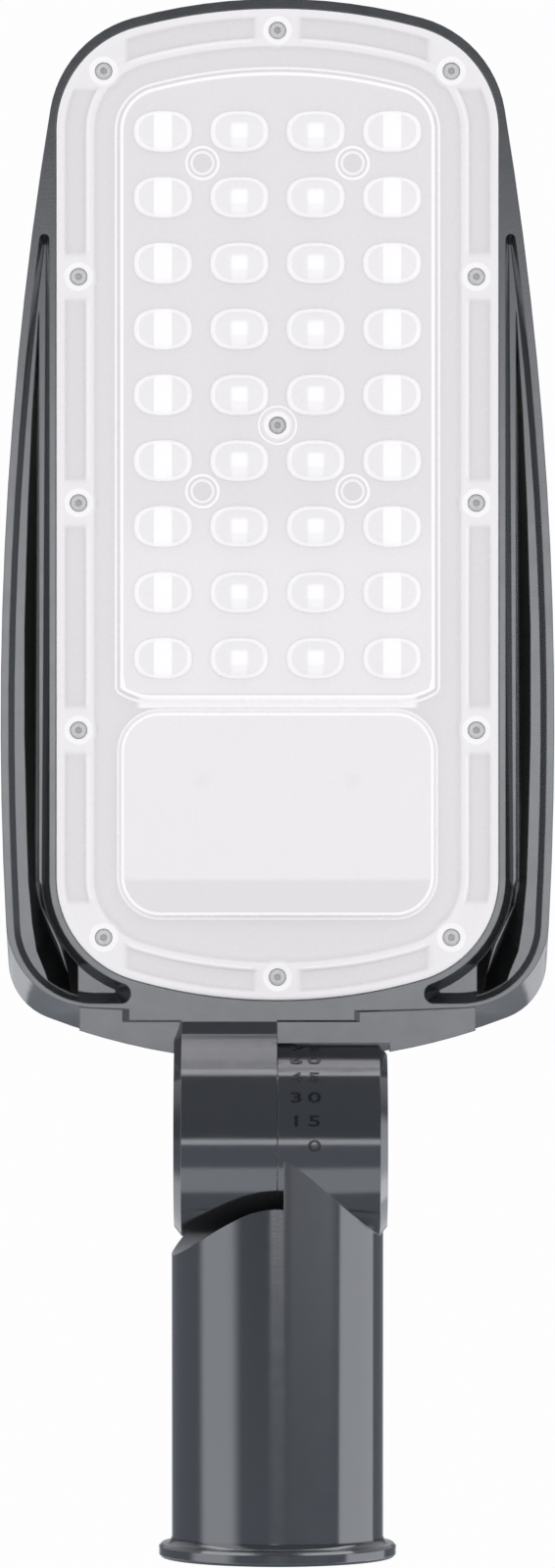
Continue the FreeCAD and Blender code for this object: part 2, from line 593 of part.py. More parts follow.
tb = rrect(23.0, 51.0, 204.0, 220.0, 1.0, 2.0, 17.9)
tb = tb.cut(Part.makeCompound([cyl(x, 208.5, 1.9, 1.0, 9.0) for x in (31.5, 37.0, 42.5)]
                              + [cyl(x, 215.5, 1.9, 1.0, 9.0) for x in (31.5, 37.0, 42.5)]
                              + [cyl(x, y, 1.65, 0.0, 30.0) for x, y in TB_SCREWS]
                              + [cyly(1.5, 203, 209.5, x, 11.0) for x in (31.5, 37.0, 42.5)]))
put("terminal_block", solid_of(tb))
put("terminal_screws", [screw(x, y, 2.0, 24.0, rh=2.6, hh=1.7) for x, y in TB_SCREWS])
put("earth_screw", screw(EARTH[0], EARTH[1], 5.1, 10.5, rh=3.9, hh=2.6, rs=2.0, socket=1.8))
ring = cyl(EARTH[0], EARTH[1], 3.9, 5.15, 5.95).fuse(box(EARTH[0] - 1.6, EARTH[0] + 1.6, EARTH[1] - 9.0, EARTH[1] - 2.0, 5.15, 5.95))
ring = ring.fuse(cyly(1.75, EARTH[1] - 11.5, EARTH[1] - 6.5, EARTH[0], 5.9))
ring = ring.cut(cyl(EARTH[0], EARTH[1], 2.1, 4, 8))
ring = ring.cut(cyly(1.15, EARTH[1] - 12, EARTH[1] - 8.0, EARTH[0], 5.9))
put("earth_ring_terminal", solid_of(ring))

LEAD_R = 1.1
leads = {
    "led_lead_positive": [(3.5, 262.2, 6.0), (3.5, 267.3, 5.0), (3.5, 269.3, -2.6), (3.5, 273.5, -6.05), (3.5, 281.0, -6.05)],
    "led_lead_negative": [(-3.5, 262.2, 6.0), (-3.5, 267.3, 5.0), (-3.5, 269.3, -2.6), (-3.5, 273.5, -6.05), (-3.5, 281.0, -6.05)],
    "driver_lead_live": [(6.0, 196.9, 12.0), (6.5, 189.0, 12.0), (13.0, 183.0, 11.6), (23.0, 184.0, 11.2), (31.0, 191.5, 11.0), (31.5, 200.0, 11.0), (31.5, 208.5, 11.0)],
    "driver_lead_neutral": [(-3.0, 196.9, 12.0), (-2.5, 187.0, 12.0), (6.0, 178.0, 11.6), (21.0, 176.5, 11.2), (33.0, 183.0, 11.0), (37.0, 194.5, 11.0), (37.0, 208.5, 11.0)],
    "earth_lead": [(-40.0, 199.5, 5.9), (-40.0, 190.0, 5.9), (-33.0, 178.0, 7.0), (-17.0, 171.5, 8.4), (4.0, 170.0, 9.6), (25.0, 171.5, 10.6), (38.5, 180.0, 11.0), (42.5, 193.0, 11.0), (42.5, 208.5, 11.0)],
}
for name, pts in leads.items():
    put(name, tube_path(pts, 0.85 if name.startswith("led") else LEAD_R))

# ---------------------------------------------------------------- cable gland
g = cyly(7.98, 157.2, 170.0, 0, G_Z).fuse(hexprism(19.0, 5.8, (0, 151.4, G_Z), (0, 1, 0)))
g = g.fuse(cyly(7.4, 143.6, 152.0, 0, G_Z))
g = g.cut(Part.makeCompound([cyly(4.6, 140, 175, 0, G_Z), cyly(6.1, 140, 149.0, 0, G_Z)]))
put("cable_gland", solid_of(g))
put("gland_washer", cyly(10.4, 157.25, 158.6, 0, G_Z).cut(cyly(8.05, 150, 160, 0, G_Z)))
put("gland_seal", cyly(6.05, 141.6, 148.95, 0, G_Z).cut(cyly(3.6, 130, 160, 0, G_Z)))
nut = hexprism(19.0, 8.6, (0, 142.6, G_Z), (0, 1, 0))
nut = nut.fuse(Part.makeCone(6.6, 9.3, 4.4, V(0, 138.2, G_Z), V(0, 1, 0)))
nut = nut.cut(Part.makeCompound([cyly(7.45, 143.5, 160, 0, G_Z), cyly(6.1, 141.5, 160, 0, G_Z), cyly(4.3, 130, 160, 0, G_Z)]))
put("gland_nut", solid_of(nut))

# ---------------------------------------------------------------- sleeve
pr = [V(0, 0, 0), V(FLANGE_R - 0.9, 0, 0), V(FLANGE_R, 0.9, 0), V(FLANGE_R, FLANGE_T - 0.9, 0),
      V(FLANGE_R - 0.9, FLANGE_T, 0), V(TR + 2.4, FLANGE_T, 0)]
ed = [Part.LineSegment(pr[i], pr[i + 1]).toShape() for i in range(len(pr) - 1)]
kf = 2.4 * (1 - math.sqrt(0.5))
ed.append(Part.Arc(V(TR + 2.4, FLANGE_T, 0), V(TR + kf, FLANGE_T + kf, 0), V(TR, FLANGE_T + 2.4, 0)).toShape())
ed += [Part.LineSegment(V(TR, FLANGE_T + 2.4, 0), V(TR, AX_Y, 0)).toShape(),
       Part.LineSegment(V(TR, AX_Y, 0), V(0, AX_Y, 0)).toShape(),
       Part.LineSegment(V(0, AX_Y, 0), V(0, 0, 0)).toShape()]
tube = Part.Face(Part.Wire(ed)).revolve(V(0, 0, 0), V(0, 1, 0), 360)
tube = tube if tube.Solids == [] else tube.Solids[0]
pad2 = rrect(-9.5, 9.5, 7.5, 59.0, 4.0, 20.0, 37.2)
tube = tube.fuse(pad2)
scoop = cylx(SCOOP_R, RISER_X, 60).fuse(box(RISER_X, 60, 106.0, 140, AX_Z, 50))
tube = tube.cut(scoop)
# narrow chamfer round the scoop's edge on the light side
rim_edges = []
for e in tube.Edges:
    q = e.valueAt((e.FirstParameter + e.LastParameter) / 2)
    if (abs(math.hypot(q.x, q.z) - TR) < 0.05 and abs(math.hypot(q.y - AX_Y, q.z - AX_Z) - SCOOP_R) < 0.05
            and q.z < -5 and q.x > RISER_X + 0.5):
        rim_edges.append(e)
print("scoop edges", len(rim_edges))
tube = tube.makeChamfer(SCOOP_CH, rim_edges)
top = Part.Face(Part.makePolygon([V(-60, 101, 50), V(-60, 101, 34.4), V(-60, 117, AX_Z + BR), V(-60, 145, AX_Z + BR),
                                  V(-60, 145, 50), V(-60, 101, 50)])).extrude(V(60 + RISER_X, 0, 0))
tube = tube.cut(top)
half = cylx(BR, X_SLEEVE + CH_X, -SEAM).fuse(Part.makeCone(BR - CH_R, BR, CH_X, V(X_SLEEVE, AX_Y, AX_Z), V(1, 0, 0)))
sl = tube.fuse(half)
sc = [cyly(TB, -1, SPIGOT_L), cyly(TB2, -1, BORE_END - 3), Part.makeCone(TB2, TB2 - 8, 3.0, V(0, BORE_END - 3, 0), V(0, 1, 0)),
      cylx(BORE_R, -40, 5), hexprism(17.4, 10, (X_SLEEVE - 1.9, AX_Y, AX_Z), (1, 0, 0)),
      cylx(19.6, -21.0, 1).cut(cylx(9.2, -22, 2)),
      cylx(T_R2 + 0.5, -2.0, 1).cut(cylx(T_R1 - 0.5, -3, 2)),
      rrect(-7.0, 7.0, 66.0, 90.0, 6.99, 18, 45),
      cyl(0, 20.0, 4.05, 20, 45), cyl(0, 46.0, 4.05, 20, 45)]
for c in sc:
    sl = sl.cut(c)
sl = sl.fuse(teeth(-1))
sl = solid_of(sl)
put("spigot_sleeve", sl)


def hexbolt_z(x, y, tip, seat, rs, af, hh):
    s = cyl(x, y, rs, tip + 1.0, seat + 0.1)
    s = s.fuse(Part.makeCone(rs - 1.0, rs, 1.0, V(x, y, tip)))
    h = hexprism(af, hh, (x, y, seat), (0, 0, 1)).common(Part.makeCone(af * 0.95, af * 0.47, hh, V(x, y, seat)).fuse(cyl(x, y, af * 0.56, seat, seat + hh * 0.7)))
    return solid_of(s.fuse(h))


put("pole_screws", [hexbolt_z(0, y, 31.0, 40.2, 3.98, 13.0, 5.3) for y in (20.0, 46.0)])

pb = cylx(BOLT_R, -27.2, 31.7).fuse(Part.makeCone(BOLT_R, BOLT_R - 0.9, 0.9, V(31.7, AX_Y, AX_Z), V(1, 0, 0)))
pb = pb.fuse(hexprism(17.0, 6.4, (-33.4, AX_Y, AX_Z), (1, 0, 0)))
put("pivot_bolt", solid_of(pb))
put("pivot_washer", cylx(10.0, 20.1, 22.1).cut(cylx(5.25, 19, 24)))
sw = cylx(9.0, 22.1, 24.4).cut(cylx(5.3, 21, 26))
sw = sw.cut(box(21, 26, AX_Y - 0.5, AX_Y + 0.5, AX_Z, AX_Z + 12))
put("pivot_spring_washer", solid_of(sw))
pn = hexprism(17.0, 7.6, (24.4, AX_Y, AX_Z), (1, 0, 0)).cut(cylx(5.02, 20, 40))
put("pivot_nut", pn)

# ---------------------------------------------------------------- export
vol = 0.0
for name, shape in parts.items():
    ok = shape.isValid()
    n = len(shape.Solids)
    vol += shape.Volume
    bb = shape.BoundBox
    print("%-22s solids %2d valid %s vol %9.0f  x %.1f %.1f y %.1f %.1f z %.1f %.1f" % (
        name, n, ok, shape.Volume, bb.XMin, bb.XMax, bb.YMin, bb.YMax, bb.ZMin, bb.ZMax))
    shape.exportStep("parts/%s.step" % name)
print("nodes", len(parts), "solid volume", round(vol))
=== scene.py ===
import json
import math

import bmesh
import bpy
import numpy as np
from mathutils import Matrix, Vector
from mathutils.geometry import delaunay_2d_cdt


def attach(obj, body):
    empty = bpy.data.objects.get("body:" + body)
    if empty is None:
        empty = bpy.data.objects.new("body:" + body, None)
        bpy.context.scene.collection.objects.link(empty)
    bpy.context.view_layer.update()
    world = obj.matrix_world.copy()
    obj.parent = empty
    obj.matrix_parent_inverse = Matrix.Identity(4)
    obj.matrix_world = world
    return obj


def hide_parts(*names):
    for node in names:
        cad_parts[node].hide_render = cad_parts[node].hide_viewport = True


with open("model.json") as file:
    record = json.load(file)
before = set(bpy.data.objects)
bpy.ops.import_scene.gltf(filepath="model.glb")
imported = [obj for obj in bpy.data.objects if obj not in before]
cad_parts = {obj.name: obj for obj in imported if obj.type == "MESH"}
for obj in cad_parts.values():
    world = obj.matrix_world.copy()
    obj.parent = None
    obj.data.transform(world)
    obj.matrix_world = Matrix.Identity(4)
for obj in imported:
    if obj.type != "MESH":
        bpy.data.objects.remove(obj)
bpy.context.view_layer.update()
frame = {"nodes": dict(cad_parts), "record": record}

MM = 0.001
nodes = frame["nodes"]
scene = bpy.context.scene
scene.view_settings.view_transform = "Standard"


# ------------------------------------------------------------------ node helpers
class Graph:
    """Short way to write shader maths."""

    def __init__(self, tree):
        self.t = tree

    def n(self, kind, **props):
        node = self.t.nodes.new(kind)
        for k, v in props.items():
            setattr(node, k, v)
        return node

    def link(self, a, b):
        self.t.links.new(a, b)

    def put(self, sock, v):
        if isinstance(v, (int, float)):
            sock.default_value = v
        elif isinstance(v, (tuple, list)):
            sock.default_value = v
        else:
            self.link(v, sock)

    def m(self, op, a, b=None, clamp=False):
        node = self.n("ShaderNodeMath", operation=op, use_clamp=clamp)
        self.put(node.inputs[0], a)
        if b is not None:
            self.put(node.inputs[1], b)
        return node.outputs[0]

    def ramp(self, v, lo, hi, a=0.0, b=1.0):
        node = self.n("ShaderNodeMapRange", interpolation_type="SMOOTHSTEP")
        self.put(node.inputs["Value"], v)
        node.inputs["From Min"].default_value = lo
        node.inputs["From Max"].default_value = hi
        node.inputs["To Min"].default_value = a
        node.inputs["To Max"].default_value = b
        return node.outputs[0]

    def band(self, v, lo, hi, f0, f1=None):
        """1 between lo and hi, falling off over f0 below and f1 above."""
        f1 = f0 if f1 is None else f1
        return self.m("MULTIPLY", self.ramp(v, lo - f0, lo), self.ramp(v, hi, hi + f1, 1.0, 0.0))

    def mixc(self, fac, a, b):
        node = self.n("ShaderNodeMix", data_type="RGBA")
        self.put(node.inputs["Factor"], fac)
        self.put(node.inputs["A"], a)
        self.put(node.inputs["B"], b)
        return node.outputs["Result"]

    def noise(self, vec, scale, detail=3.0, rough=0.5):
        node = self.n("ShaderNodeTexNoise")
        node.inputs["Scale"].default_value = scale
        node.inputs["Detail"].default_value = detail
        node.inputs["Roughness"].default_value = rough
        self.link(vec, node.inputs["Vector"])
        return node.outputs["Fac"]


def rgb(c, k=1.0):
    return (c[0] * k, c[1] * k, c[2] * k, 1.0)


def new_material(name):
    mat = bpy.data.materials.new(name)
    mat.use_nodes = True
    g = Graph(mat.node_tree)
    bsdf = mat.node_tree.nodes["Principled BSDF"]
    coord = g.n("ShaderNodeTexCoord").outputs["Object"]
    return mat, g, bsdf, coord


def finish_material(name, color, rough, metal=0.0, vary=0.06, scale=60.0, bump=0.0, bump_scale=900.0,
                    rough_vary=0.05, ior=1.5, coat=0.0, stretch=None, bevel=0.0, coat_rough=0.05):
    """Colour, roughness and relief that vary over the surface."""
    mat, g, bsdf, coord = new_material(name)
    vec = coord
    if stretch:
        mp = g.n("ShaderNodeMapping")
        mp.inputs["Scale"].default_value = stretch
        g.link(coord, mp.inputs["Vector"])
        vec = mp.outputs["Vector"]
    n1 = g.noise(vec, scale)
    g.link(g.mixc(n1, rgb(color, 1 - vary), rgb(color, 1 + vary)), bsdf.inputs["Base Color"])
    n2 = g.noise(vec, scale * 4.3, 4.0)
    g.link(g.ramp(n2, 0.25, 0.75, rough - rough_vary, rough + rough_vary), bsdf.inputs["Roughness"])
    bsdf.inputs["Metallic"].default_value = metal
    bsdf.inputs["IOR"].default_value = ior
    bsdf.inputs["Coat Weight"].default_value = coat
    bsdf.inputs["Coat Roughness"].default_value = coat_rough
    normal = None
    if bevel:
        bv = g.n("ShaderNodeBevel", samples=4)
        bv.inputs["Radius"].default_value = bevel
        normal = bv.outputs["Normal"]
    if bump:
        bp = g.n("ShaderNodeBump")
        bp.inputs["Strength"].default_value = bump
        bp.inputs["Distance"].default_value = 0.0001
        g.link(g.noise(vec, bump_scale, 2.0), bp.inputs["Height"])
        if normal is not None:
            g.link(normal, bp.inputs["Normal"])
        normal = bp.outputs["Normal"]
    if normal is not None:
        g.link(normal, bsdf.inputs["Normal"])
    return mat


# ------------------------------------------------------------------ materials
M = {}
M["coated_casting"] = finish_material("coated_casting", (0.332, 0.338, 0.350), 0.11, metal=0.92, vary=0.03, scale=35,
                                      bump=0.04, bump_scale=1300, rough_vary=0.015, bevel=0.0004)
# the coat's faint haze, which shows on the steep walls of the troughs
coat = M["coated_casting"].node_tree.nodes["Principled BSDF"]
coat.inputs["Sheen Weight"].default_value = 0.13
coat.inputs["Sheen Roughness"].default_value = 0.35
M["scale_figures"] = finish_material("scale_figures", (0.17, 0.172, 0.18), 0.25, metal=1.0, vary=0.1, scale=300,
                                     bump=0.05, bump_scale=1300)
M["grey_rubber"] = finish_material("grey_rubber", (0.30, 0.30, 0.31), 0.7, vary=0.1, bump=0.3)
M["screw_steel"] = finish_material("screw_steel", (0.62, 0.62, 0.63), 0.45, metal=0.1, vary=0.12, scale=900,
                                   bump=0.4, bump_scale=2400, rough_vary=0.12)
M["board_white"] = finish_material("board_white", (0.85, 0.85, 0.83), 0.35, vary=0.03)
M["phosphor"] = finish_material("phosphor", (0.9, 0.75, 0.22), 0.3, vary=0.05, scale=400)
M["driver_case"] = finish_material("driver_case", (0.75, 0.75, 0.72), 0.4, vary=0.04, bump=0.15)
M["plate_steel"] = finish_material("plate_steel", (0.80, 0.80, 0.80), 0.35, vary=0.03, bump=0.1)
M["nylon_white"] = finish_material("nylon_white", (0.80, 0.80, 0.76), 0.5, vary=0.04, bump=0.15)
M["tinned"] = finish_material("tinned", (0.72, 0.72, 0.70), 0.3, metal=1.0, vary=0.08)
M["lead_red"] = finish_material("lead_red", (0.5, 0.03, 0.025), 0.4, vary=0.08)
M["lead_black"] = finish_material("lead_black", (0.02, 0.02, 0.02), 0.4, vary=0.08)
M["lead_brown"] = finish_material("lead_brown", (0.16, 0.06, 0.03), 0.4, vary=0.08)
M["lead_blue"] = finish_material("lead_blue", (0.03, 0.10, 0.42), 0.4, vary=0.08)
M["lead_green"] = finish_material("lead_green", (0.18, 0.45, 0.08), 0.4, vary=0.08)
M["gland_nylon"] = finish_material("gland_nylon", (0.022, 0.022, 0.024), 0.42, vary=0.1, scale=200, bump=0.3,
                                   bump_scale=1800, bevel=0.0004)
M["seal_rubber"] = finish_material("seal_rubber", (0.018, 0.018, 0.018), 0.75, vary=0.15, bump=0.35)
M["zinc"] = finish_material("zinc", (0.62, 0.61, 0.58), 0.3, metal=1.0, vary=0.12, scale=160, bump=0.2,
                            bump_scale=1500, rough_vary=0.08, bevel=0.0003)

slot_of = {s["node"]: s["material_slot"] for s in frame["record"]["subparts"]}
special = {"pole_screws": "zinc", "pivot_bolt": "zinc", "pivot_washer": "zinc", "pivot_spring_washer": "zinc",
           "pivot_nut": "zinc"}
for name, obj in nodes.items():
    if name == "lens_cover":
        continue
    mat = M[special.get(name, slot_of[name])]
    if not obj.material_slots:
        obj.data.materials.append(mat)
    for s in obj.material_slots:
        s.material = mat


# ------------------------------------------------------------------ milky cover
HW, TIP, TIP_R, TIP_C = 70.7, 496.1, 174.5, 34.1
REAR, REAR_R, REAR_C = 178.8, 165.8, 34.0
T0, T_LAND, T_WIN, T_BAY = 10.0, 11.2, 12.6, 13.4
COLS = (-36.6, -12.2, 12.2, 36.6)
ROW0, PITCH, ROWS = 288.2, 21.05, 9
DA, DB, DN = 9.4, 6.65, 2.5
CPX = 24.4
RIM = [(0.0, 489.1), (55.6, 476.1), (-55.6, 476.1), (63.6, 410.3), (-63.6, 410.3),
       (63.6, 337.9), (-63.6, 337.9), (63.6, 265.2), (-63.6, 265.2),
       (55.6, 198.9), (-55.6, 198.9), (0.0, 186.2)]
CENTRE = (0.0, 362.7)
BOARD = [(24.0, 446.5), (-24.0, 446.5), (24.0, 341.6), (-24.0, 341.6)]
KEEP = [(50, 75, 416.4, 471.5), (50, 75, 344.0, 404.2), (50, 75, 271.4, 331.8), (50, 75, 209.0, 259.0),
        (6.0, 49.5, 470, 500), (6.0, 49.5, 170, 205)]


def corner(apex, r, cr, s):
    x = HW - cr
    y0 = apex - s * r
    return x, y0 + s * math.sqrt((r - cr) ** 2 - x * x), y0


QX, QY, TY = corner(TIP, TIP_R, TIP_C, 1)
PX, PY, BY = corner(REAR, REAR_R, REAR_C, -1)


def d_out(x, y):
    """Distance inside the cover's contour."""
    x = np.abs(x)
    d = np.minimum(HW - x, np.minimum(TIP_R - np.hypot(x, y - TY), REAR_R - np.hypot(x, y - BY)))
    a = np.arctan2(y - QY, x - QX)
    lim = math.atan2(QY - TY, QX)
    d = np.where((a >= 0) & (a <= lim) & (x > QX), TIP_C - np.hypot(x - QX, y - QY), d)
    b = np.arctan2(PY - y, x - PX)
    lim = math.atan2(BY - PY, PX)
    return np.where((b >= 0) & (b <= lim) & (x > PX), REAR_C - np.hypot(x - PX, y - PY), d)


def d_rect(x, y, x0, x1, y0, y1, r):
    """Distance inside a rectangle with round corners."""
    qx = np.abs(x - (x0 + x1) / 2) - (x1 - x0) / 2 + r
    qy = np.abs(y - (y0 + y1) / 2) - (y1 - y0) / 2 + r
    return r - np.hypot(np.maximum(qx, 0), np.maximum(qy, 0)) - np.minimum(np.maximum(qx, qy), 0)


def d_win(x, y):
    return np.minimum(d_out(x, y) - 19.5, d_rect(x, y, -60, 60, 274.4, 560, 20.5))


def d_bay(x, y):
    return d_rect(x, y, -51.0, 51.0, 204.9, 271.8, 13.6)


def sstep(v, a, b):
    t = np.clip((v - a) / (b - a), 0, 1)
    return t * t * (3 - 2 * t)


def dome_local(x, y):
    cx = np.array(COLS)[np.argmin(np.abs(x[:, None] - np.array(COLS)[None, :]), axis=1)]
    j = np.clip(np.round((y - ROW0) / PITCH), 0, ROWS - 1)
    u, v = (x - cx) / DA, (y - (ROW0 + j * PITCH)) / DB
    return u, v, (np.abs(u) ** DN + np.abs(v) ** DN) ** (1 / DN), np.abs(cx) > 20


def near(x, y, pts):
    return np.min([np.hypot(x - px, y - py) for px, py in pts], axis=0)


def cover_height(x, y):
    """Height of the outer face over the seat side, and the distance fields from which the material paints highlights
    and shade along the moulded edges.
    """
    d, w, b = d_out(x, y), d_win(x, y), d_bay(x, y)
    chan = np.zeros_like(x)
    for x0, x1, y0, y1 in KEEP:
        e = np.minimum(np.minimum(np.abs(x) - x0, x1 - np.abs(x)), np.minimum(y - y0, y1 - y))
        chan = np.maximum(chan, sstep(e, -0.6, 2.8))
    c = chan * sstep(d, 2.3, 3.5) * sstep(-d, -9.9, -8.9)
    land = sstep(-d, -13.1, -11.5)
    rs = near(x, y, RIM)
    t = T0 + (T_LAND - T0) * land * (1 - c)
    # raised collar round each screw
    t = np.maximum(t, T0 + (T_LAND + 0.0 - T0) * sstep(-rs, -6.6, -5.2))
    t = np.maximum(t, T0 + (T_WIN - T0) * sstep(w, -0.8, 1.3))
    t = np.maximum(t, T0 + (T_BAY - T0) * sstep(b, -0.1, 1.5))
    # outer lip
    t -= 1.1 * (1 - np.sqrt(np.clip(1 - np.clip(1 - d / 1.1, 0, 1) ** 2, 0, 1)))
    # lens domes
    u, v, r, outer = dome_local(x, y)
    dome = 3.55 * np.clip(1 - np.clip(r, 0, 1) ** 2, 0, 1) ** 0.62
    t += dome
    # rings over the board's screws
    rb = near(x, y, BOARD)
    t += 0.45 * sstep(-rb, -5.7, -5.1) * sstep(rb, 3.2, 3.8)
    rc = np.hypot(x - CENTRE[0], y - CENTRE[1])
    t += 0.45 * sstep(-rc, -6.3, -5.7)
    # screw holes
    for r0, top in ((rs, T_LAND), (rc, T_WIN + 0.45)):
        t = np.where(r0 < 4.4, np.minimum(t, top - 0.5 * np.clip((4.4 - r0) / 1.5, 0, 1)), t)
        t = np.where(r0 < 2.80, np.minimum(t, top - 1.9), t)
    fields = {"f_lip": d, "f_win": w, "f_bay": b, "f_chan": chan, "f_rim": np.minimum(rs, rc + 0.25),
              "f_ring": np.minimum(rb, np.where(rc < 12, rc - 0.75 + 100 * (rc < 5.4), 50.0)), "f_rear": y - 274.4}
    return t, fields


def contour(inset, step_s=5.0, step_c=1.6):
    """Closed polyline of the cover's outline at an inset."""
    out = []
    tc, rc_, tr, rr = TIP_C - inset, REAR_C - inset, TIP_R - inset, REAR_R - inset
    la = math.atan2(QY - TY, QX)
    lb = math.atan2(BY - PY, PX)
    half = []
    n = max(6, int((math.pi / 2 - la) * tr / 2.4))
    for i in range(n + 1):
        a = math.pi / 2 - (math.pi / 2 - la) * i / n
        half.append((tr * math.cos(a), TY + tr * math.sin(a)))
    if tc > 0.3:
        n = max(5, int(la * tc / step_c))
        for i in range(1, n + 1):
            a = la - la * i / n
            half.append((QX + tc * math.cos(a), QY + tc * math.sin(a)))
    n = int((QY - PY) / step_s)
    for i in range(1, n + 1):
        half.append((HW - inset, QY - (QY - PY) * i / n))
    if rc_ > 0.3:
        n = max(5, int(lb * rc_ / step_c))
        for i in range(1, n + 1):
            a = -lb * i / n
            half.append((PX + rc_ * math.cos(a), PY + rc_ * math.sin(a)))
    n = max(6, int((math.pi / 2 - lb) * rr / 2.4))
    for i in range(1, n + 1):
        a = -lb - (math.pi / 2 - lb) * i / n
        half.append((rr * math.cos(a), BY + rr * math.sin(a)))
    out = half + [(-x, y) for x, y in half[-2:0:-1]]
    return out


def rect_contour(x0, x1, y0, y1, r, step=1.3, long_step=5.0):
    pts = []
    cs = [(x1 - r, y1 - r, 0), (x0 + r, y1 - r, 90), (x0 + r, y0 + r, 180), (x1 - r, y0 + r, 270)]
    for i, (cx, cy, a0) in enumerate(cs):
        n = max(4, int(math.pi / 2 * r / step))
        for k in range(n + 1):
            a = math.radians(a0 + 90 * k / n)
            pts.append((cx + r * math.cos(a), cy + r * math.sin(a)))
        nx, ny, na = cs[(i + 1) % 4]
        e = (nx + r * math.cos(math.radians(na)), ny + r * math.sin(math.radians(na)))
        s = pts[-1]
        ln = math.hypot(e[0] - s[0], e[1] - s[1])
        m = int(ln / long_step)
        for k in range(1, m):
            pts.append((s[0] + (e[0] - s[0]) * k / m, s[1] + (e[1] - s[1]) * k / m))
    return pts


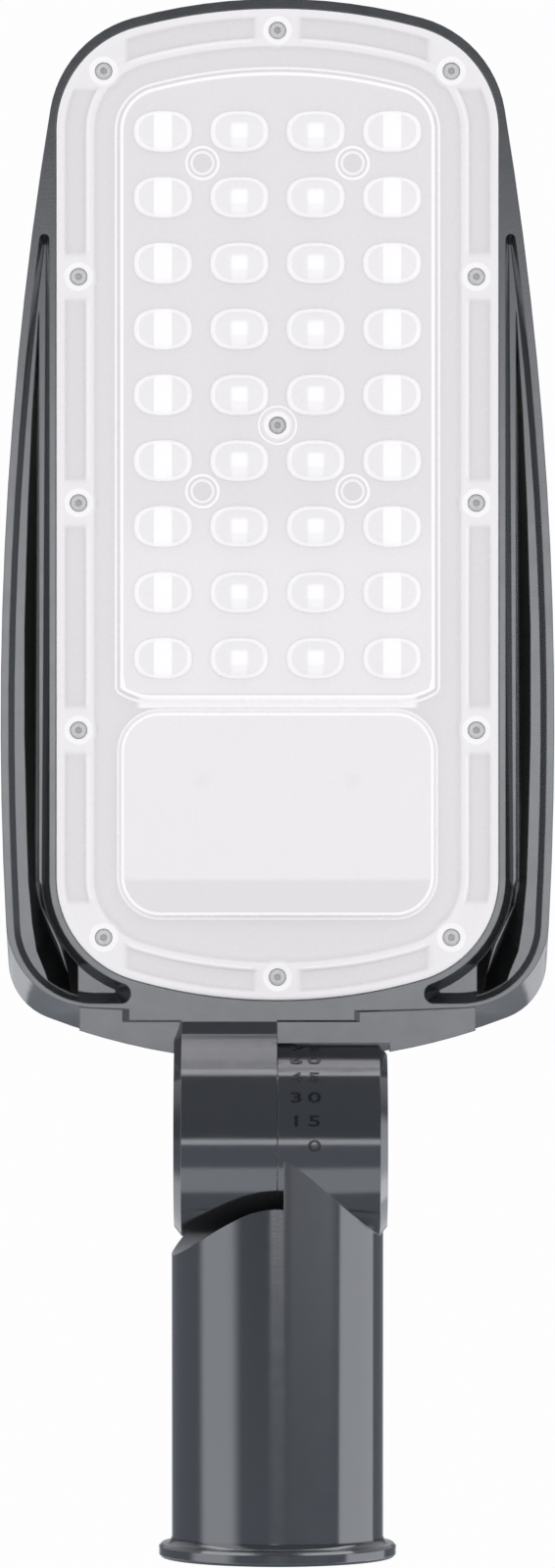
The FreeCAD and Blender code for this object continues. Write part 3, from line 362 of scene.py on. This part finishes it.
def make_cover():
    P, E = [], []

    def loop(pts, closed=True):
        k = len(P)
        P.extend(pts)
        n = len(pts)
        E.extend((k + i, k + i + 1) for i in range(n - 1))
        if closed:
            E.append((k + n - 1, k))

    border = contour(0.0)
    loop(border)
    for inset in (0.12, 0.35, 0.7, 1.1, 1.5, 2.3, 2.7, 3.1, 3.5, 4.2, 8.5, 8.9, 9.4, 9.9, 10.5, 11.1, 11.6, 12.1,
                  12.6, 13.1, 13.9):
        loop(contour(inset))
    for o in (-1.4, -0.8, -0.4, 0.0, 0.5, 0.9, 1.3, 1.8, 2.5, 3.4):
        c = np.array(contour(19.5 + o, 4.0, 1.2))
        keep = d_rect(c[:, 0], c[:, 1], -60, 60, 274.4, 560, 20.5) >= o - 1e-6
        k = len(c)
        start = next(i for i in range(k) if not keep[i - 1] and keep[i])
        run = []
        for i in range(k):
            q = (start + i) % k
            if not keep[q]:
                break
            run.append(tuple(c[q]))
        r = rect_contour(-60 + o, 60 - o, 274.4 + o, 560, max(20.5 - o, 1))
        ra = np.array(r)
        rk = d_out(ra[:, 0], ra[:, 1]) - 19.5 >= o - 1e-6
        rk &= ra[:, 1] < 330
        idx = np.where(rk)[0]
        # the kept rear points form one run across the window
        seg = sorted([tuple(ra[i]) for i in idx], key=lambda p: -p[0])
        if run[-1][0] > run[0][0]:
            loop(run + seg)
        else:
            loop(run + seg[::-1])
        loop(rect_contour(-51 + o, 51 - o, 204.9 + o, 271.8 - o, 13.6 - o))
    # ends of the sunk channels
    for x0, x1, y0, y1 in KEEP:
        for m in (1, -1):
            for o in (-0.6, 0.1, 0.8, 1.4, 2.1, 2.8):
                if x0 == 50:
                    for yy in (y0 + o, y1 - o):
                        xs = np.linspace(50, HW, 160)
                        ok = [xx for xx in xs if 2.0 < d_out(np.array([xx]), np.array([yy]))[0] < 10.6]
                        if ok:
                            loop([(m * xx, yy) for xx in np.linspace(ok[0], ok[-1], 6)], False)
                else:
                    for xx in (x0 + o, x1 - o):
                        ys = np.linspace(y0, y1, 200)
                        ok = [yy for yy in ys if 2.0 < d_out(np.array([xx]), np.array([yy]))[0] < 10.6]
                        if ok:
                            loop([(m * xx, yy) for yy in np.linspace(ok[0], ok[-1], 6)], False)
    for j in range(ROWS):
        for cx in COLS:
            cy = ROW0 + j * PITCH
            P.append((cx, cy))
            for k, f in enumerate((0.22, 0.42, 0.6, 0.75, 0.86, 0.93, 0.975, 1.0, 1.05)):
                n = 20 if k < 2 else 40
                ring = []
                for i in range(n):
                    a = 2 * math.pi * (i + 0.5 * (k % 2)) / n
                    ca, sa = math.cos(a), math.sin(a)
                    ring.append((cx + DA * f * math.copysign(abs(ca) ** (2 / DN), ca),
                                 cy + DB * f * math.copysign(abs(sa) ** (2 / DN), sa)))
                loop(ring)

    def circles(pts, radii, n):
        for cx, cy in pts:
            P.append((cx, cy))
            for k, r in enumerate(radii):
                loop([(cx + r * math.cos(2 * math.pi * (i + 0.5 * (k % 2)) / n),
                       cy + r * math.sin(2 * math.pi * (i + 0.5 * (k % 2)) / n)) for i in range(n)])

    circles(BOARD, (2.4, 3.2, 3.4, 3.6, 3.8, 4.4, 5.1, 5.3, 5.5, 5.7, 6.2), 36)
    circles(RIM, (2.0, 2.78, 2.83, 3.4, 3.9, 4.4, 4.8, 5.2, 5.9, 6.6, 7.3), 36)
    circles([CENTRE], (2.0, 2.78, 2.83, 3.4, 3.9, 4.4, 5.0, 5.7, 6.0, 6.3, 7.0), 36)

    verts, edges, faces, ov, oe, of_ = delaunay_2d_cdt([Vector(p) for p in P], E, [], 0, 1e-5, True)
    xy = np.array([(v.x, v.y) for v in verts])
    x, y = xy[:, 0], xy[:, 1]
    t, fields = cover_height(x, y)
    d = d_out(x, y)
    # back face: flat seat, hollow behind both windows
    wb = np.maximum(sstep(d_win(x, y), 2.3, 3.3) * (T_WIN - 2.5 - 7.0), sstep(d_bay(x, y), 2.3, 3.3) * (T_BAY - 2.5 - 7.0))
    back = np.minimum(7.0 + wb, t - 1.2)
    n = len(verts)
    tri = []
    for f in faces:
        f = list(f)
        cx, cy = x[f].mean(), y[f].mean()
        if d_out(np.array([cx]), np.array([cy]))[0] < 0:
            continue
        a, b_, c = f[0], f[1], f[2]
        if (x[b_] - x[a]) * (y[c] - y[a]) - (y[b_] - y[a]) * (x[c] - x[a]) > 0:
            f = f[::-1]
        tri.append(f)
    tri = np.array(tri)
    e = np.vstack([tri[:, [0, 1]], tri[:, [1, 2]], tri[:, [2, 0]]])
    seen = set(map(tuple, e.tolist()))
    rim = [(a, b_) for a, b_ in seen if (b_, a) not in seen]
    co = np.zeros((2 * n, 3))
    co[:n, 0], co[:n, 1], co[:n, 2] = x, y, -t
    co[n:, 0], co[n:, 1], co[n:, 2] = x, y, -back
    F = [tuple(f) for f in tri.tolist()] + [tuple(i + n for i in f[::-1]) for f in tri.tolist()]
    for a, b_ in rim:
        F.append((b_, a, a + n, b_ + n))
    me = bpy.data.meshes.new("lens_cover_moulded")
    me.from_pydata([tuple(p) for p in (co * MM).tolist()], [], F)
    for name, val in fields.items():
        at = me.attributes.new(name, "FLOAT", "POINT")
        at.data.foreach_set("value", np.tile(np.clip(val, -30, 30), 2).astype(np.float32))
    bm = bmesh.new()
    bm.from_mesh(me)
    loose = [vv for vv in bm.verts if not vv.link_faces]
    bmesh.ops.delete(bm, geom=loose, context="VERTS")
    bmesh.ops.recalc_face_normals(bm, faces=bm.faces)
    bm.to_mesh(me)
    bm.free()
    for p in me.polygons:
        p.use_smooth = True
    me.set_sharp_from_angle(angle=math.radians(50))
    ob = bpy.data.objects.new("lens_cover_moulded", me)
    scene.collection.objects.link(ob)
    print("cover triangles", sum(len(p.vertices) - 2 for p in me.polygons))
    return ob


def cover_material():
    mat, g, bsdf, coord = new_material("milky_cover")

    def attr(name):
        a = g.n("ShaderNodeAttribute", attribute_name=name)
        return a.outputs["Fac"]
    d, w, b, chan, rs, rb, rear = (attr("f_" + q) for q in ("lip", "win", "bay", "chan", "rim", "ring", "rear"))
    sep = g.n("ShaderNodeSeparateXYZ")
    g.link(coord, sep.inputs[0])
    x, y = g.m("MULTIPLY", sep.outputs[0], 1000.0), g.m("MULTIPLY", sep.outputs[1], 1000.0)
    ax = g.m("ABSOLUTE", x)
    outer = g.ramp(ax, 24.3, 24.5)
    lx = g.m("SUBTRACT", g.m("MODULO", ax, CPX), CPX / 2)
    ly = g.m("SUBTRACT", g.m("MODULO", g.m("ADD", y, PITCH / 2 - ROW0 + PITCH), PITCH), PITCH / 2)
    field = g.m("MULTIPLY", g.ramp(ax, 48.4, 48.5, 1.0, 0.0), g.band(y, ROW0 - 9, ROW0 + PITCH * (ROWS - 1) + 9, 0.1))
    au, av = g.m("DIVIDE", g.m("ABSOLUTE", lx), DA), g.m("DIVIDE", g.m("ABSOLUTE", ly), DB)
    r = g.m("POWER", g.m("ADD", g.m("POWER", au, DN), g.m("POWER", av, DN)), 1 / DN)
    inside = g.m("MULTIPLY", g.ramp(r, 0.985, 1.01, 1.0, 0.0), field)

    def top_of(*terms):
        out = terms[0]
        for q in terms[1:]:
            out = g.m("MAXIMUM", out, q)
        return out

    def k(v, *f):
        for q in f:
            v = g.m("MULTIPLY", q, v) if isinstance(v, float) else g.m("MULTIPLY", v, q)
        return v
    # border: painted highlights on the lip and the ridge; the sunk channels are left darker than the bosses between
    # them, as painted shade
    lip = top_of(k(0.80, g.ramp(d, 0.25, 0.75, 1.0, 0.0)), k(0.42, g.ramp(d, 2.2, 3.2, 1.0, 0.0)))
    ridge_highlight = top_of(k(0.62, g.band(d, 9.7, 10.4, 0.5, 0.6), chan), k(0.42, g.band(d, 9.6, 11.7, 0.5, 0.7)))
    boss_vs_channel_shade = k(0.38, g.ramp(chan, 0.2, 0.9, 1.0, 0.0), g.band(d, 2.0, 10.0, 1.0))
    land = k(0.08, g.ramp(d, 11.0, 12.0))
    # screws: painted highlight on the counterbore, a white ring that fades outwards
    counterbore_highlight = top_of(k(0.86, g.ramp(rs, 3.1, 4.5, 1.0, 0.35)), k(0.80, g.band(rs, 3.6, 4.4, 0.4, 0.6)))
    counterbore_highlight = k(counterbore_highlight, g.ramp(rs, 4.6, 7.0, 1.0, 0.0))
    # light window: painted highlights on its two edge lines and on the band along its rear edge, a painted shade line
    # just behind that band, and the panel's tone
    w_in = g.ramp(w, 1.2, 2.2)
    window_edge_highlights = top_of(k(1.0, g.band(w, -0.8, -0.15, 0.2, 0.25)), k(0.97, g.band(w, 1.05, 1.75, 0.25, 0.5)))
    rear_on = g.ramp(ax, 43.0, 46.0, 1.0, 0.0)
    rear_chamfer_highlight = k(1.0, g.band(rear, -1.9, 1.5, 0.25, 0.6), rear_on)
    rear_chamfer_highlight = k(rear_chamfer_highlight, g.ramp(rear, -1.4, 0.2, 1.0, 0.88))
    rear_step_shade = k(0.26, g.band(rear, 2.0, 2.7, 0.3), rear_on)
    panel = k(w_in, g.ramp(ax, 40.0, 51.0, 1.0, 0.9), g.ramp(y, 316.0, 342.0, 0.355, 0.165))
    # driver window: painted highlights on its edge lines, painted shade on the deeper open part below the white plate,
    # and painted shade round the two screws behind the cover
    b_in = g.ramp(b, 1.5, 2.2)
    bay_edge_highlights = top_of(k(0.97, g.band(b, -0.25, 0.3, 0.25, 0.3)), k(1.0, g.band(b, 1.1, 1.8, 0.3, 0.4)),
                   k(0.50, g.band(b, 0.2, 1.2, 0.1)))
    bay_panel_shade = k(b_in, g.ramp(y, 216.6, 218.2, 0.08, 0.385))
    driver_screw_shade = 0.0
    for px in (-24.1, 24.1):
        hx, hy = g.m("SUBTRACT", x, px), g.m("SUBTRACT", y, 248.9)
        rr = g.m("SQRT", g.m("ADD", g.m("MULTIPLY", hx, hx), g.m("MULTIPLY", hy, hy)))
        driver_screw_shade = g.m("ADD", driver_screw_shade, g.ramp(rr, 0.5, 3.6, 0.10, 0.0))
    # rings over the board's screws: painted highlights on the ring's edges; inside each ring the colour is a little
    # darker
    ring = top_of(k(1.0, g.band(rb, 4.85, 5.45, 0.3, 0.3)), k(0.85, g.band(rb, 3.2, 3.7, 0.3, 0.3)))
    ring_in = g.ramp(rb, 5.3, 5.5, 1.0, 0.0)
    # lens domes: painted highlights, a white rim, a strip over the outer columns and a soft square painted glow with a
    # tail in the inner ones; the domes are a little lighter overall
    rim = k(0.90, g.band(r, 0.87, 0.965, 0.14, 0.06), field)
    dome_strip_highlight = k(1.0, g.ramp(g.m("ABSOLUTE", lx), 2.5, 3.6, 1.0, 0.0), inside, outer)
    soft = g.m("SUBTRACT", 1.0, outer)
    dome_spot_highlight = k(1.0, g.ramp(g.m("ABSOLUTE", lx), 1.7, 4.3, 1.0, 0.0), g.ramp(g.m("ABSOLUTE", ly), 1.5, 4.2, 1.0, 0.0), soft, field)
    dome_tail_highlight = k(0.74, g.ramp(g.m("ABSOLUTE", lx), 1.8, 4.2, 1.0, 0.0), g.band(ly, -5.2, 0.0, 1.8, 0.5), soft, field)
    body = k(0.45, inside)
    fac = top_of(lip, ridge_highlight, boss_vs_channel_shade, land, counterbore_highlight, window_edge_highlights, rear_chamfer_highlight, rear_step_shade, bay_edge_highlights, bay_panel_shade)
    fac = top_of(fac, panel)
    # painted shade: a dark line on the step behind the light window's rear band
    fac = g.m("SUBTRACT", fac, k(0.20, g.band(rear, 2.2, 2.6, 0.3), rear_on))
    # a little darker inside the rings over the board's screws
    fac = g.m("SUBTRACT", fac, k(0.16, ring_in))
    fac = top_of(fac, ring, rim, body, dome_strip_highlight, dome_spot_highlight, dome_tail_highlight)
    # painted shade of the two driver screws seen through the cover
    fac = g.m("SUBTRACT", fac, k(driver_screw_shade, b_in))
    cloud = g.ramp(g.noise(coord, 16.0, 2.0), 0.3, 0.7, -0.012, 0.012)
    fac = g.m("ADD", fac, cloud, clamp=True)
    lo = rgb((0.730, 0.714, 0.736))
    hi = rgb((0.986, 0.974, 0.988))
    g.link(g.mixc(fac, lo, hi), bsdf.inputs["Base Color"])
    g.link(g.ramp(g.noise(coord, 160.0, 3.0), 0.3, 0.7, 0.22, 0.30), bsdf.inputs["Roughness"])
    bsdf.inputs["IOR"].default_value = 1.45
    bp = g.n("ShaderNodeBump")
    bp.inputs["Strength"].default_value = 0.03
    bp.inputs["Distance"].default_value = 0.0001
    g.link(g.noise(coord, 900.0, 2.0), bp.inputs["Height"])
    g.link(bp.outputs["Normal"], bsdf.inputs["Normal"])
    return mat


cover = make_cover()
cover.data.materials.append(cover_material())
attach(cover, "head")
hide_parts("lens_cover")

# ------------------------------------------------------------------ angle scale on the knuckle
AXY, AXZ, BR = 133.7, -3.7, 30.7


def wrap_text(txt, xc, theta, size):
    """Raised figure on the sleeve's half barrel; theta runs from -Z towards +Y, in degrees."""
    cu = bpy.data.curves.new("fig", "FONT")
    cu.body = txt
    cu.size = size / 0.7
    cu.align_x, cu.align_y = "CENTER", "CENTER"
    cu.extrude = 0.35
    cu.bevel_depth = 0.07
    cu.bevel_resolution = 1
    cu.resolution_u = 6
    ob = bpy.data.objects.new("fig", cu)
    me = bpy.data.meshes.new_from_object(ob)
    bpy.data.objects.remove(ob)
    out = me.copy()
    for v in out.vertices:
        u, w, h = v.co
        th = math.radians(theta) + w / BR
        rad = BR + (0.22 if h > 0 else -0.3)
        out.vertices[v.index].co = ((xc - 1.8 * u) * MM, (AXY + rad * math.sin(th)) * MM, (AXZ - rad * math.cos(th)) * MM)
    bpy.data.meshes.remove(me)
    return out


def scale_figures():
    bm = bmesh.new()
    for k, lab in enumerate(("0", "15", "30", "45", "60", "75")):
        theta = -1.2 + 14.8 * k
        if len(lab) == 1:
            parts = [(lab, -11.7)]
        else:
            parts = [(lab[0], -5.9), (lab[1], -11.7)]
        for ch, xc in parts:
            me = wrap_text(ch, xc, theta, 3.5)
            bm.from_mesh(me)
            bpy.data.meshes.remove(me)
    bmesh.ops.remove_doubles(bm, verts=bm.verts, dist=1e-6)
    bmesh.ops.recalc_face_normals(bm, faces=bm.faces)
    me = bpy.data.meshes.new("angle_scale")
    bm.to_mesh(me)
    bm.free()
    ob = bpy.data.objects.new("angle_scale", me)
    scene.collection.objects.link(ob)
    ob.data.materials.append(M["scale_figures"])
    return ob


figs = scale_figures()
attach(figs, "sleeve")

# ------------------------------------------------------------------ camera
cam_data = bpy.data.cameras.new("camera")
cam = bpy.data.objects.new("camera", cam_data)
scene.collection.objects.link(cam)
cam.location = (0.0, 0.248, -2.602)
cam.rotation_mode = "QUATERNION"
cam.rotation_quaternion = Matrix(((-1, 0, 0), (0, 1, 0), (0, 0, -1))).to_quaternion()
cam_data.sensor_fit = "AUTO"
cam_data.sensor_width = 36.0
cam_data.lens = 8264.0 / 1600.0 * 36.0
cam_data.clip_start, cam_data.clip_end = 0.05, 200.0
scene.camera = cam

# ------------------------------------------------------------------ floor and studio light
fm = bpy.data.meshes.new("floor")
fm.from_pydata([(-30, -30, -11), (30, -30, -11), (30, 30, -11), (-30, 30, -11)], [], [(0, 1, 2, 3)])
floor = bpy.data.objects.new("floor", fm)
scene.collection.objects.link(floor)
floor.data.materials.append(finish_material("floor_pale", (0.82, 0.82, 0.82), 0.9, vary=0.01, scale=0.3))
floor.visible_diffuse = False
floor.visible_glossy = False
floor.visible_shadow = False
floor.visible_transmission = False

world = bpy.data.worlds.new("studio")
scene.world = world
world.use_nodes = True
wt = world.node_tree
wt.nodes.clear()
g = Graph(wt)
sep = g.n("ShaderNodeSeparateXYZ")
g.link(g.n("ShaderNodeTexCoord").outputs["Generated"], sep.inputs[0])
dx, dy, dz = sep.outputs
DEG = 180 / math.pi
down = g.m("MULTIPLY", dz, -1.0)
psi_y = g.m("MULTIPLY", g.m("ARCTAN2", dy, down), DEG)
psi_x = g.m("MULTIPLY", g.m("ARCTAN2", dx, down), DEG)
ax = g.m("ABSOLUTE", dx)
ay = g.m("ABSOLUTE", dy)


def add(*terms):
    out = terms[0]
    for q in terms[1:]:
        out = g.m("ADD", out, q)
    return out


def mul(*terms):
    out = terms[0]
    for q in terms[1:]:
        out = g.m("MULTIPLY", out, q)
    return out


# reflected studio: dark room with soft cards; the diffuse light is an even white tent
L_A, L_B, L_C, L_D, L_E, L_TOP = 0.82, 0.88, 0.30, 0.46, 0.57, 0.52
base = g.ramp(psi_y, -6.0, -1.5, 0.165, 0.085)
card_a = mul(L_A, g.band(psi_y, -2.2, 1.2, 1.4, 4.4), g.ramp(psi_y, -1.6, 0.8, 0.85, 1.0), g.ramp(ax, 0.10, 0.17, 1.0, 0.0),
             g.ramp(ax, 0.020, 0.032, 0.97, 1.12), g.ramp(dz, -0.3, 0.0, 1.0, 0.0))
card_b = mul(L_B, g.band(psi_y, 87.6, 113.0, 1.2), g.ramp(ax, 0.75, 0.9, 1.0, 0.0))
card_c = mul(L_C, g.band(psi_y, -60.0, -34.0, 6.0), g.ramp(ax, 0.75, 0.9, 1.0, 0.0))
card_d = mul(L_D, g.band(psi_x, 54.0, 84.0, 16.0, 13.0), g.ramp(ay, 0.75, 0.9, 1.0, 0.0))
card_e = mul(L_E, g.band(psi_x, -126.0, -72.0, 3.0), g.ramp(dy, -0.9, -0.75), g.ramp(dy, 0.10, 0.22, 1.0, 0.0))
# weak glow low over the right, seen on the sleeve's shoulder
card_f = mul(0.20, g.band(psi_x, -56.0, -18.0, 14.0, 12.0), g.ramp(dy, -0.075, -0.050), g.ramp(dy, 0.0, 0.05, 1.0, 0.0))
azimuth = g.m("MULTIPLY", g.m("ARCTAN2", g.m("MULTIPLY", dy, -1.0), ax), DEG)
top = mul(L_TOP, g.ramp(dz, 0.15, 0.35), g.band(azimuth, 22.0, 42.0, 8.0, 5.0))
# broad soft glow overhead, for the finned side
over = mul(g.ramp(dz, 0.15, 0.95, 0.10, 0.30), g.ramp(dz, 0.12, 0.45), g.m("MAXIMUM", g.ramp(ay, 0.12, 0.30), g.ramp(dz, 0.955, 0.985)),
           g.ramp(azimuth, 6.0, 24.0, 1.0, 0.35))
total = add(base, card_a, card_b, card_c, card_d, card_e, card_f, top, over)
bg_light = g.n("ShaderNodeBackground")
g.link(total, bg_light.inputs["Strength"])
# the room itself is a little bluer than the cards
g.link(g.mixc(g.m("DIVIDE", base, total, clamp=True), (0.99, 0.99, 0.995, 1.0), (0.88, 0.985, 1.14, 1.0)),
       bg_light.inputs["Color"])
bg_tent = g.n("ShaderNodeBackground")
bg_tent.inputs["Color"].default_value = (1.0, 0.997, 1.0, 1.0)
g.link(g.ramp(dz, -0.2, 0.6, 1.14, 0.80), bg_tent.inputs["Strength"])
bg_view = g.n("ShaderNodeBackground")
bg_view.inputs["Color"].default_value = (0.99, 0.985, 0.995, 1.0)
bg_view.inputs["Strength"].default_value = 1.0
path = g.n("ShaderNodeLightPath")
tent = g.n("ShaderNodeMixShader")
g.link(path.outputs["Is Diffuse Ray"], tent.inputs["Fac"])
g.link(bg_light.outputs[0], tent.inputs[1])
g.link(bg_tent.outputs[0], tent.inputs[2])
mix = g.n("ShaderNodeMixShader")
g.link(path.outputs["Is Camera Ray"], mix.inputs["Fac"])
g.link(tent.outputs[0], mix.inputs[1])
g.link(bg_view.outputs[0], mix.inputs[2])
out = g.n("ShaderNodeOutputWorld")
g.link(mix.outputs[0], out.inputs["Surface"])
